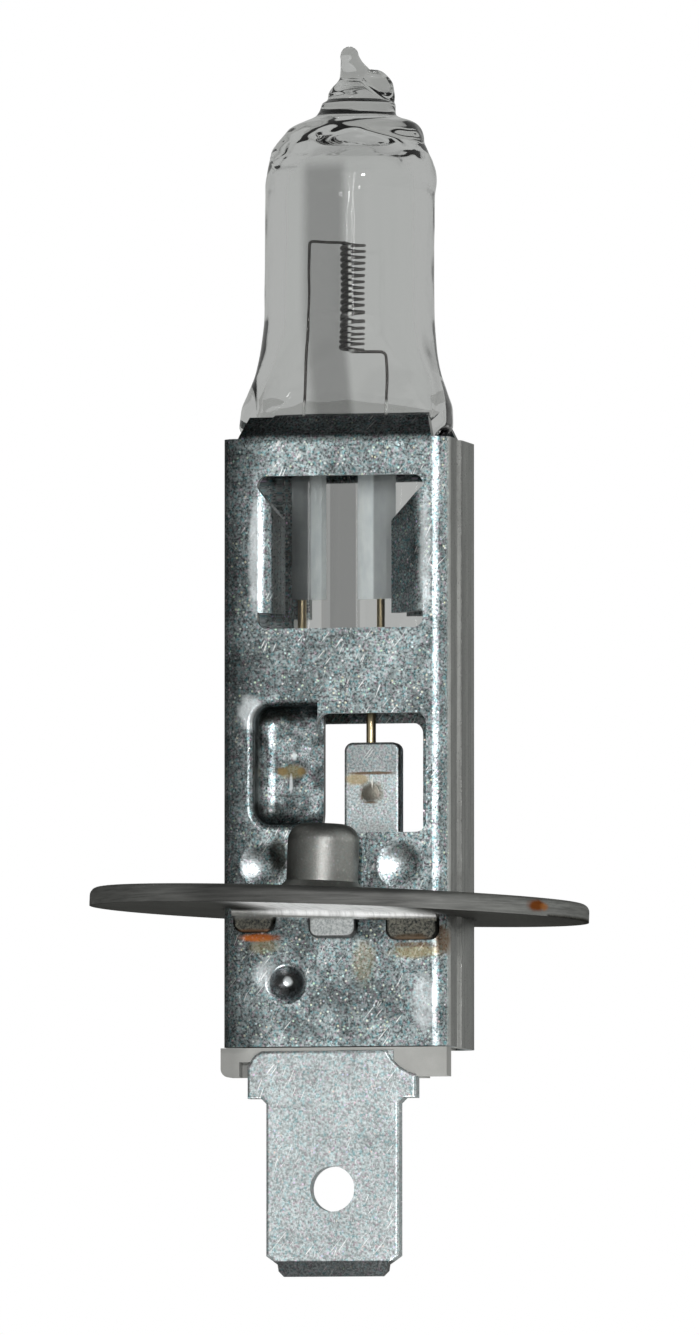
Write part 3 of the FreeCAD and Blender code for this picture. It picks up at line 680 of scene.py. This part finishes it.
# ---------------------------------------------------------------- mesh helpers
def new_object(name, bm, mat):
    """Smooth-shaded object made from a bmesh, which is freed."""
    mesh = bpy.data.meshes.new(name)
    bm.to_mesh(mesh)
    bm.free()
    obj = bpy.data.objects.new(name, mesh)
    bpy.context.scene.collection.objects.link(obj)
    mesh.materials.append(mat)
    for poly in mesh.polygons:
        poly.use_smooth = True
    return obj


def eased(stations, z):
    """Values between stations sorted by their first number, following a smooth curve."""
    if z <= stations[0][0]:
        return stations[0][1:]
    if z >= stations[-1][0]:
        return stations[-1][1:]
    i = next(k for k in range(len(stations) - 1) if stations[k + 1][0] >= z)
    before, left = stations[max(i - 1, 0)], stations[i]
    right, after = stations[i + 1], stations[min(i + 2, len(stations) - 1)]
    span = right[0] - left[0]
    t = (z - left[0]) / span
    values = []
    for k in range(1, len(left)):
        rise = right[k] - left[k]
        slope_l = slope(before, left, right, k) * span
        slope_r = slope(left, right, after, k) * span
        a = 2 * t ** 3 - 3 * t ** 2 + 1
        b = t ** 3 - 2 * t ** 2 + t
        c = t ** 3 - t ** 2
        values.append(a * left[k] + b * slope_l + (1 - a) * (left[k] + rise) + c * slope_r)
    return values


def slope(before, here, after, k):
    """Slope at a station that never makes the curve overshoot."""
    low = (here[k] - before[k]) / (here[0] - before[0]) if here[0] > before[0] else 0
    high = (after[k] - here[k]) / (after[0] - here[0]) if after[0] > here[0] else 0
    if low * high <= 0:
        return 0.0
    return 2 * low * high / (low + high)


# ---------------------------------------------------------------- glass
# z, half width, half depth, squareness (2 is an ellipse), centre x
GLASS_OUT = (
    (11.9, 4.05, 1.45, 8.0, -0.26), (12.15, 4.25, 1.65, 8.0, -0.26), (20.4, 4.25, 1.65, 8.0, -0.26),
    (21.2, 4.50, 1.70, 6.0, -0.24), (21.9, 4.96, 1.85, 4.2, -0.16), (22.6, 4.93, 2.10, 3.4, -0.12),
    (23.4, 4.66, 2.45, 2.9, -0.09), (24.4, 4.30, 2.95, 2.5, -0.05), (25.6, 4.08, 3.50, 2.2, -0.02),
    (27.0, 3.97, 3.92, 2.0, 0.0), (29.0, 3.95, 3.95, 2.0, 0.0), (32.6, 3.95, 3.95, 2.0, 0.03),
    (33.2, 3.99, 3.95, 2.0, 0.07), (33.69, 3.94, 3.90, 2.0, 0.10), (34.29, 3.79, 3.76, 2.0, 0.07),
    (34.71, 3.65, 3.60, 2.0, 0.02), (35.08, 3.46, 3.40, 2.0, 0.07), (35.42, 3.29, 3.15, 2.0, 0.18),
    (35.70, 3.12, 2.90, 2.0, 0.29), (35.93, 2.86, 2.65, 2.0, 0.36), (36.11, 2.52, 2.35, 2.0, 0.40),
    (36.25, 2.12, 2.0, 2.0, 0.36), (36.39, 1.88, 1.82, 2.0, 0.36), (36.58, 1.79, 1.75, 2.0, 0.40),
    (36.93, 1.70, 1.64, 2.0, 0.45), (37.08, 1.50, 1.43, 2.0, 0.46), (37.42, 1.30, 1.20, 2.0, 0.35),
    (37.75, 1.02, 0.92, 2.0, 0.26), (37.94, 0.82, 0.70, 2.0, 0.24), (38.12, 0.74, 0.58, 2.0, 0.28),
    (38.36, 0.72, 0.52, 2.0, 0.29), (38.59, 0.66, 0.49, 2.0, 0.25), (38.77, 0.57, 0.47, 2.0, 0.16),
    (38.96, 0.49, 0.44, 2.0, 0.08), (39.24, 0.42, 0.41, 2.0, 0.0), (39.42, 0.36, 0.36, 2.0, 0.0),
    (39.55, 0.25, 0.25, 2.0, 0.0), (39.62, 0.12, 0.12, 2.0, 0.0),
)
# lower lump melted against the nipple: centre x, centre z, half width, half depth, half height
LUMP = (1.22, 37.25, 0.93, 0.85, 1.28)
LUMP_LOW = 36.9
GLASS_TOP = 39.64
# the hollow inside, given in the same way
GLASS_IN = (
    (21.64, 1.2, 0.15, 2.0, -0.14), (21.68, 2.6, 0.3, 2.1, -0.14), (21.8, 3.4, 0.48, 2.3, -0.14),
    (22.05, 3.85, 0.68, 2.5, -0.14), (22.5, 4.02, 0.98, 2.6, -0.12), (23.1, 3.95, 1.32, 2.5, -0.1),
    (23.8, 3.78, 1.7, 2.4, -0.08), (24.8, 3.46, 2.2, 2.3, -0.05), (25.9, 3.16, 2.66, 2.15, -0.02),
    (27.1, 3.0, 2.94, 2.0, 0.0), (32.6, 3.0, 3.0, 2.0, 0.03), (33.4, 2.95, 2.95, 2.0, 0.08),
    (34.0, 2.75, 2.75, 2.0, 0.1), (34.5, 2.35, 2.35, 2.0, 0.12), (34.85, 1.75, 1.75, 2.0, 0.15),
    (35.05, 1.05, 1.05, 2.0, 0.2), (35.12, 0.5, 0.5, 2.0, 0.2),
)
CAVITY_LOW = 21.62
CAVITY_HIGH = 35.15
CAVITY_LOW_X = -0.12
CAVITY_HIGH_X = 0.2
# heights above which the melted glass turns wavy, outside and inside
MELT_OUT = 34.4
MELT_IN = 33.8
MELT_RUN_IN = 1.2
# above this height rings lie closer together
FINE_FROM = 33.0
RING_POINTS = 128


def web_recess(x, z):
    """How far the pinch's thin middle web lies below its rims."""
    off = abs(x - PINCH_X)
    across = 1 - min(max((off - WEB_HALF_W) / (WEB_RIM_START - WEB_HALF_W), 0), 1)
    fade = 1 - min(max((z - WEB_TOP) / WEB_RUN_OUT, 0), 1)
    return WEB_DEPTH * across * fade


def lump_reach(c, s, from_x, z):
    """Distance from (from_x, 0) to the far side of the lump's slice at height z, or 0."""
    centre_x, centre_z, half_w, half_d, half_h = LUMP
    share = 1 - ((z - centre_z) / half_h) ** 2
    if share <= 0:
        return 0.0
    squeeze = half_w / half_d
    cx, cy = c, s * squeeze
    size = math.hypot(cx, cy)
    cx, cy = cx / size, cy / size
    off = centre_x - from_x
    inside = share * half_w ** 2 - off ** 2 + (cx * off) ** 2
    if inside <= 0:
        return 0.0
    return (cx * off + math.sqrt(inside)) / size


def softened(values, passes):
    """Values round a ring, each averaged with its two neighbours, several times over."""
    count = len(values)
    for _ in range(passes):
        values = [(values[i - 1] + values[i] + values[(i + 1) % count]) / 3 for i in range(count)]
    return values


def glass_ring(stations, z, outside):
    """Points of one level ring of the glass, a rounded rectangle or ellipse made a little uneven."""
    half_w, half_d, power, centre = eased(stations, z)
    turns = [2 * math.pi * i / RING_POINTS for i in range(RING_POINTS)]
    spread = []
    for t in turns:
        c, s = math.cos(t), math.sin(t)
        x = half_w * math.copysign(abs(c) ** (2 / power), c)
        y = half_d * math.copysign(abs(s) ** (2 / power), s)
        spread.append((x, y))
    if outside and z > LUMP_LOW:
        reach = [lump_reach(math.cos(t), math.sin(t), centre, z) for t in turns]
        longest = [max(far, math.hypot(x, y)) for far, (x, y) in zip(reach, spread)]
        longest = softened(longest, 4)
        spread = [(r * math.cos(t), r * math.sin(t)) for r, t in zip(longest, turns)]
    ring = []
    for x, y in spread:
        x += centre
        if outside:
            y -= math.copysign(min(web_recess(x, z), abs(y) * 0.55), y)
        start = MELT_OUT if outside else MELT_IN
        melted = min(max((z - start) / MELT_RUN_IN, 0), 1)
        point = Vector((x, y, z))
        wave = noise.noise(point * 0.8 + Vector((3, 7, 1)))
        ripple = noise.noise(Vector((x * 0.9, y * 0.9, z * 2.2)) + Vector((9, 2, 5)))
        grow = 1 + 0.004 * wave + melted * (0.025 * wave + 0.02 * ripple)
        ring.append(Vector((centre + (x - centre) * grow, y * grow, z)) * MM)
    return ring


def levels(stations, step, fine_step):
    """Heights of the rings from the first station to the last."""
    z, high = stations[0][0], stations[-1][0]
    while z < high - 1e-6:
        yield z
        z += fine_step if z >= FINE_FROM else step
    yield high


def closed_skin(bm, stations, low_pole, high_pole, heights, outside):
    """Closed surface through rings at the heights, with a pole at each end; poles are (x, z)."""
    rings = []
    for z in heights:
        rings.append([bm.verts.new(p) for p in glass_ring(stations, z, outside)])
    for below, above in zip(rings, rings[1:]):
        for i in range(RING_POINTS):
            j = (i + 1) % RING_POINTS
            quad = (below[i], below[j], above[j], above[i])
            bm.faces.new(quad if outside else reversed(quad))
    for ring, pole, up in ((rings[0], low_pole, False), (rings[-1], high_pole, True)):
        middle = bm.verts.new(Vector((pole[0], 0, pole[1])) * MM)
        for i in range(RING_POINTS):
            j = (i + 1) % RING_POINTS
            tri = (ring[i], ring[j], middle)
            bm.faces.new(tri if up == outside else reversed(tri))


def make_glass(mat):
    bm = bmesh.new()
    foot = (PINCH_X, GLASS_OUT[0][0])
    closed_skin(bm, GLASS_OUT, foot, (0, GLASS_TOP), levels(GLASS_OUT, 0.16, 0.045), True)
    closed_skin(bm, GLASS_IN, (CAVITY_LOW_X, CAVITY_LOW), (CAVITY_HIGH_X, CAVITY_HIGH),
                levels(GLASS_IN, 0.1, 0.06), False)
    glass = new_object("glass_bulb", bm, mat)
    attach(glass, "root")
    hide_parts("glass_envelope")


# ---------------------------------------------------------------- wires
def tube(name, points, radius, mat, node, sides=12):
    """Round wire along the points, as a closed mesh; radius is one value or one for each point."""
    points = [Vector(p) for p in points]
    radii = radius if isinstance(radius, list) else [radius] * len(points)
    bm = bmesh.new()
    side = None
    rings = []
    last = len(points) - 1
    for k, p in enumerate(points):
        ahead = (points[min(k + 1, last)] - points[max(k - 1, 0)]).normalized()
        if side is None:
            side = ahead.orthogonal().normalized()
        side = (side - ahead * side.dot(ahead)).normalized()
        up = ahead.cross(side)
        ring = []
        for i in range(sides):
            t = 2 * math.pi * i / sides
            ring.append(bm.verts.new((p + (side * math.cos(t) + up * math.sin(t)) * radii[k]) * MM))
        rings.append(ring)
    for a, b in zip(rings, rings[1:]):
        for i in range(sides):
            j = (i + 1) % sides
            bm.faces.new((a[i], a[j], b[j], b[i]))
    bm.faces.new(reversed(rings[0]))
    bm.faces.new(rings[-1])
    wire = new_object(name, bm, mat)
    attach(wire, "root")
    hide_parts(node)


def rounded_path(corners, radius, step=0.12):
    """Points along straight runs joined by round bends."""
    corners = [Vector(c) for c in corners]
    points = [corners[0]]
    for before, here, after in zip(corners, corners[1:], corners[2:]):
        to_before = before - here
        to_after = after - here
        reach = min(radius, to_before.length * 0.45, to_after.length * 0.45)
        start = here + to_before.normalized() * reach
        end = here + to_after.normalized() * reach
        for k in range(7):
            t = k / 6
            points.append(start * (1 - t) ** 2 + here * 2 * t * (1 - t) + end * t ** 2)
    points.append(corners[-1])
    dense = [points[0]]
    for p in points[1:]:
        gap = p - dense[-1]
        count = max(1, int(gap.length / step))
        for k in range(1, count + 1):
            dense.append(p - gap * (1 - k / count))
    return dense


def filament_points():
    """One wire: up the left leg, down the coil, out along the right leg."""
    y = WIRE_Y
    left = rounded_path(((LEG_LEFT, y, LEG_FOOT), (-2.14, y, 22.6), (-1.92, y, 30.52),
                         (COIL_X - COIL_R - 0.02, y, COIL_HIGH + 0.02)), 0.22)
    coil = []
    steps = COIL_TURNS * STEPS_PER_TURN
    # from the left side to the front, a quarter turn short of whole turns
    turn_by = -2 * math.pi * (COIL_TURNS - 0.25)
    for k in range(steps + 1):
        share = k / steps
        t = math.pi + turn_by * share
        z = COIL_HIGH + (COIL_LOW - COIL_HIGH) * share
        coil.append(Vector((COIL_X + COIL_R * math.cos(t), y + COIL_R * math.sin(t), z)))
    end = coil[-1]
    right = rounded_path(((end.x + 0.12, end.y, COIL_LOW - 0.02), (1.68, y, COIL_LOW - 0.03),
                          (1.80, y, 24.0), (LEG_RIGHT, y, LEG_FOOT)), 0.24)
    return left[:-1] + coil + right


def coil_wire_radius(p):
    """The coil's wire is thicker on its left side; the legs are thinner than the wire's usual size."""
    inside = COIL_LOW < p.z < COIL_HIGH and abs(p.x - COIL_X) < COIL_R + 0.05
    if not inside:
        return WIRE_R * 0.85
    left = min(max((COIL_X - p.x) / COIL_R + 0.15, 0), 1)
    return WIRE_R * (0.84 + 0.64 * left)


def make_wires(lead_mat, filament_mat):
    points = filament_points()
    radii = [coil_wire_radius(p) for p in points]
    tube("filament_wire", points, radii, filament_mat, "filament", 10)
    shell = rounded_path(((-2.37, LEAD_Y, LEAD_TOP), (-2.37, LEAD_Y, 11.2), (-2.2, -1.2, 9.4),
                          (-2.2, -1.2, 4.3)), 0.7)
    tube("lead_shell_wire", shell, LEAD_R, lead_mat, "lead_shell", 16)
    contact = rounded_path(((1.77, LEAD_Y, LEAD_TOP), (1.77, LEAD_Y, 11.2), (1.22, -0.86, 8.9),
                            (1.22, -0.86, 4.1)), 0.7)
    tube("lead_contact_wire", contact, LEAD_R, lead_mat, "lead_contact", 16)


def set_material(mat, *names):
    """Gives the CAD's own meshes their material."""
    for name in names:
        NODES[name].data.materials.clear()
        NODES[name].data.materials.append(mat)


# ---------------------------------------------------------------- build
bpy.context.scene.view_settings.view_transform = "Standard"
make_camera()
make_world()
make_lights()
make_floor()

set_material(sleeve_material(), "sleeve_front", "sleeve_rear")
set_material(flange_material(), "flange")
set_material(blade_material(), "contact_blade")
set_material(ceramic_material(), "insulator")
set_material(foil_material(), "foil_left", "foil_right")
make_glass(glass_material())

weld_burn = ((1.22, -0.9, 5.6), (0.5, 0.6, 0.8), 0.8, (0.25, 0.14, 0.06))
# painted shade darkening the coil's left side
shaded_left_side = ((COIL_X - 0.35, 0.1, 28.0), (0.42, 1.5, 3.6), 0.8, (0.03, 0.03, 0.03))
coil_and_leg_glints = (
    ((COIL_X - 0.02, -0.42, 28.0), (0.12, 0.25, 4.4)),
    ((COIL_X + 0.02, -0.1, 25.5), (0.3, 0.6, 0.3)),
    ((-2.15, 0.1, 22.75), (0.3, 0.4, 0.45)),
    ((1.78, 0.1, 22.75), (0.3, 0.4, 0.45)),
)
make_wires(
    wire_material("lead_wire", (0.80, 0.66, 0.42), 0.3, (weld_burn,)),
    wire_material("tungsten", (0.16, 0.15, 0.145), 0.35, (shaded_left_side,), coil_and_leg_glints),
)
